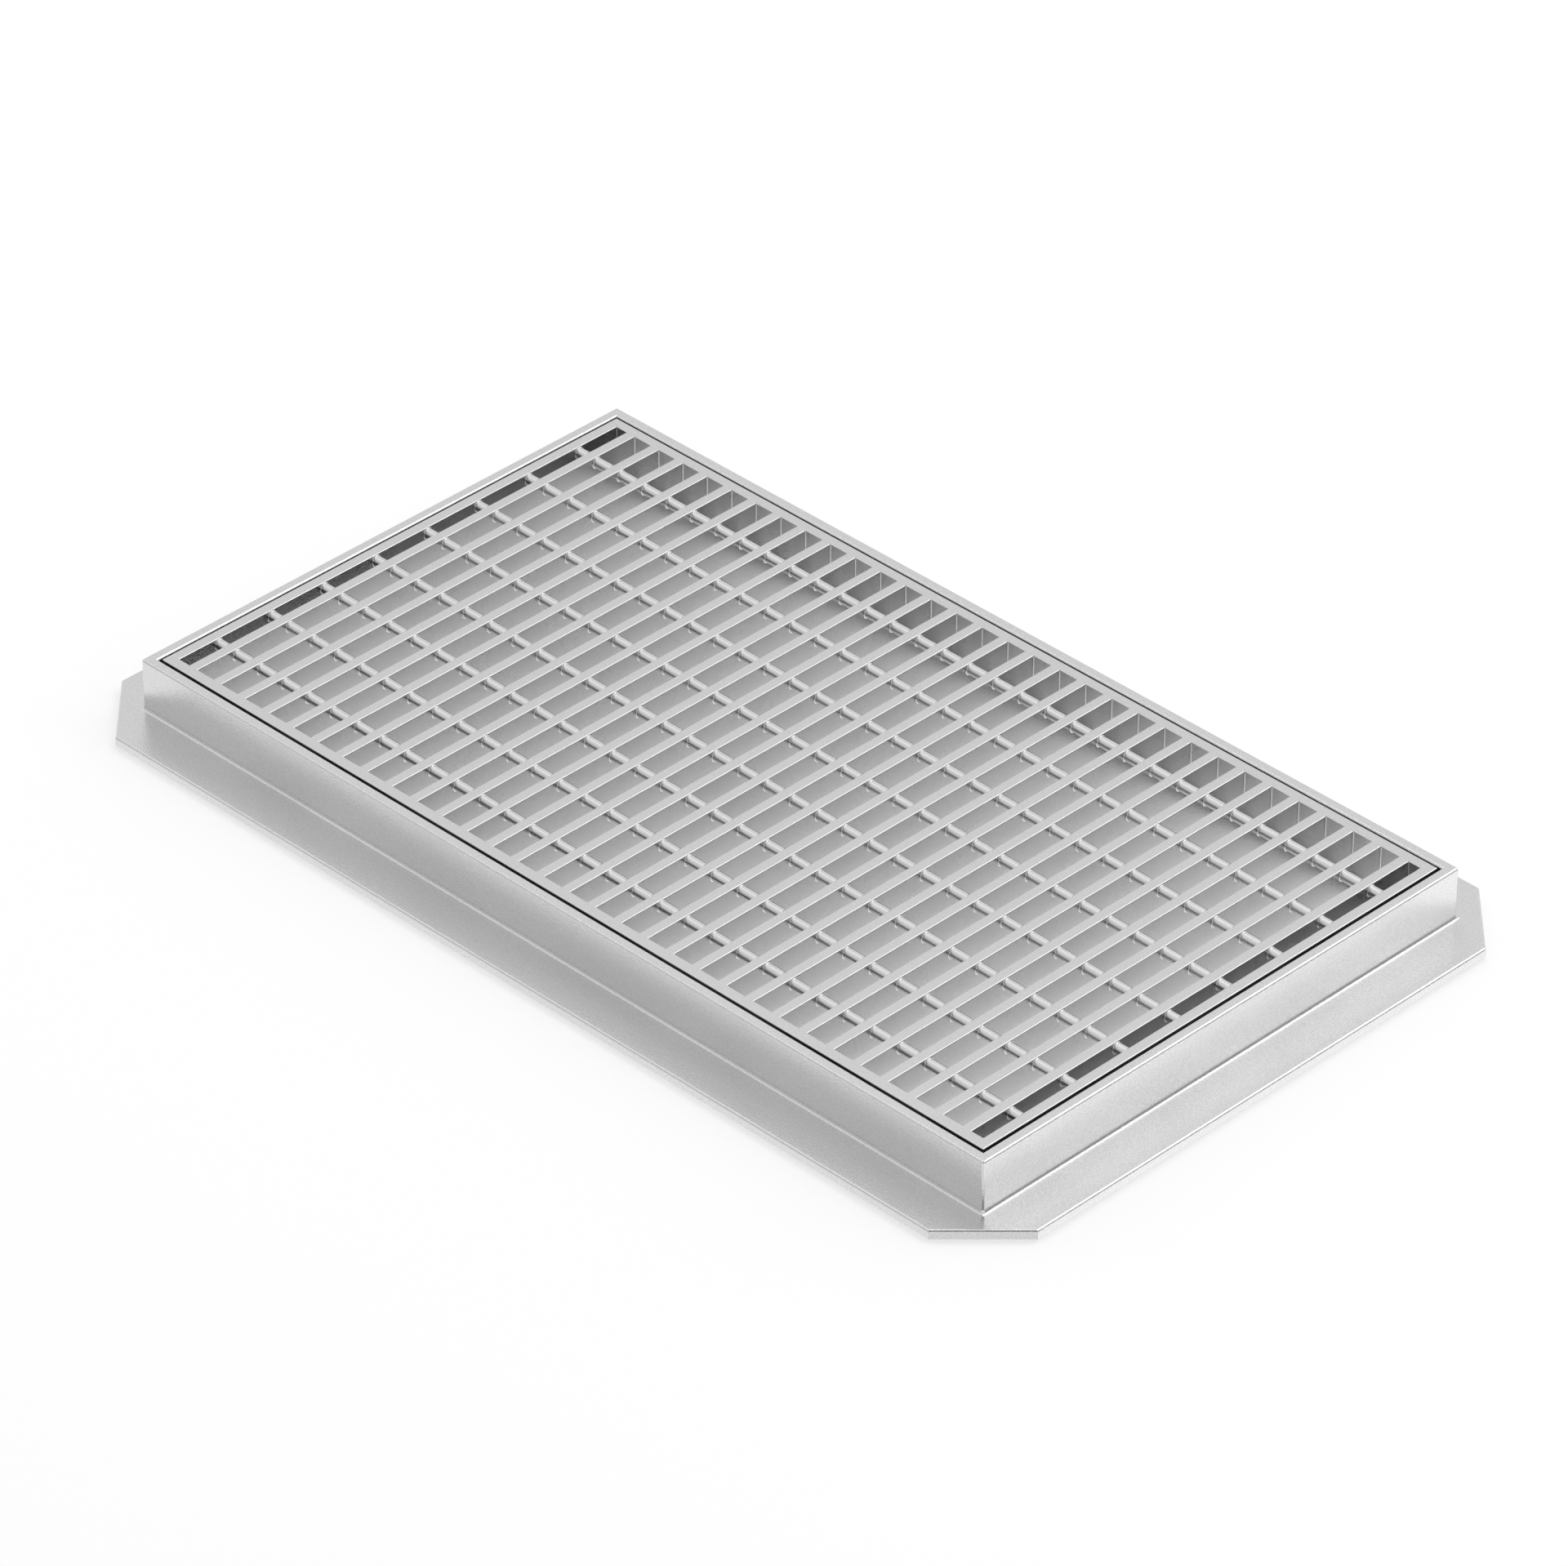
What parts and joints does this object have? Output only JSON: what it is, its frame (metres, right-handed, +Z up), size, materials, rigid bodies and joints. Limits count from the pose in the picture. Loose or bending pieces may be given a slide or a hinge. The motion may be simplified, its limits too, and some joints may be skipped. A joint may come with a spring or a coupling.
{
  "type": "catch basin cover",
  "caption": "Rectangular welded bar grate resting in the pocket of a flanged steel frame with clipped corners, for draining a road or a yard into a basin.",
  "frame": {"origin": "centre of the rectangular footprint, on the underside of the frame's base", "axes": "+X along the length (the bearing bars run across it, along Y), +Y to the back, +Z up out of the tread surface"},
  "size_m": [1.07, 0.645, 0.06],
  "materials": {
    "grate_steel": "satin, light grey, fine grained",
    "frame_steel": "satin, mid grey, fine grained"
  },
  "bodies": {
    "root": {"bearing_bar_01": "grate_steel", "bearing_bar_02": "grate_steel", "bearing_bar_03": "grate_steel", "bearing_bar_04": "grate_steel", "bearing_bar_05": "grate_steel", "bearing_bar_06": "grate_steel", "bearing_bar_07": "grate_steel", "bearing_bar_08": "grate_steel", "bearing_bar_09": "grate_steel", "bearing_bar_10": "grate_steel", "bearing_bar_11": "grate_steel", "bearing_bar_12": "grate_steel", "bearing_bar_13": "grate_steel", "bearing_bar_14": "grate_steel", "bearing_bar_15": "grate_steel", "bearing_bar_16": "grate_steel", "bearing_bar_17": "grate_steel", "bearing_bar_18": "grate_steel", "bearing_bar_19": "grate_steel", "bearing_bar_20": "grate_steel", "bearing_bar_21": "grate_steel", "bearing_bar_22": "grate_steel", "bearing_bar_23": "grate_steel", "bearing_bar_24": "grate_steel", "bearing_bar_25": "grate_steel", "bearing_bar_26": "grate_steel", "bearing_bar_27": "grate_steel", "bearing_bar_28": "grate_steel", "bearing_bar_29": "grate_steel", "bearing_bar_30": "grate_steel", "bearing_bar_31": "grate_steel", "cross_rod_01": "grate_steel", "cross_rod_02": "grate_steel", "cross_rod_03": "grate_steel", "cross_rod_04": "grate_steel", "cross_rod_05": "grate_steel", "cross_rod_06": "grate_steel", "cross_rod_07": "grate_steel", "cross_rod_08": "grate_steel", "banding_front": "grate_steel", "banding_right": "grate_steel", "banding_back": "grate_steel", "banding_left": "grate_steel", "base_front": "frame_steel", "base_right": "frame_steel", "base_back": "frame_steel", "base_left": "frame_steel", "wall_front": "frame_steel", "wall_right": "frame_steel", "wall_back": "frame_steel", "wall_left": "frame_steel"}
  },
  "joints": []
}
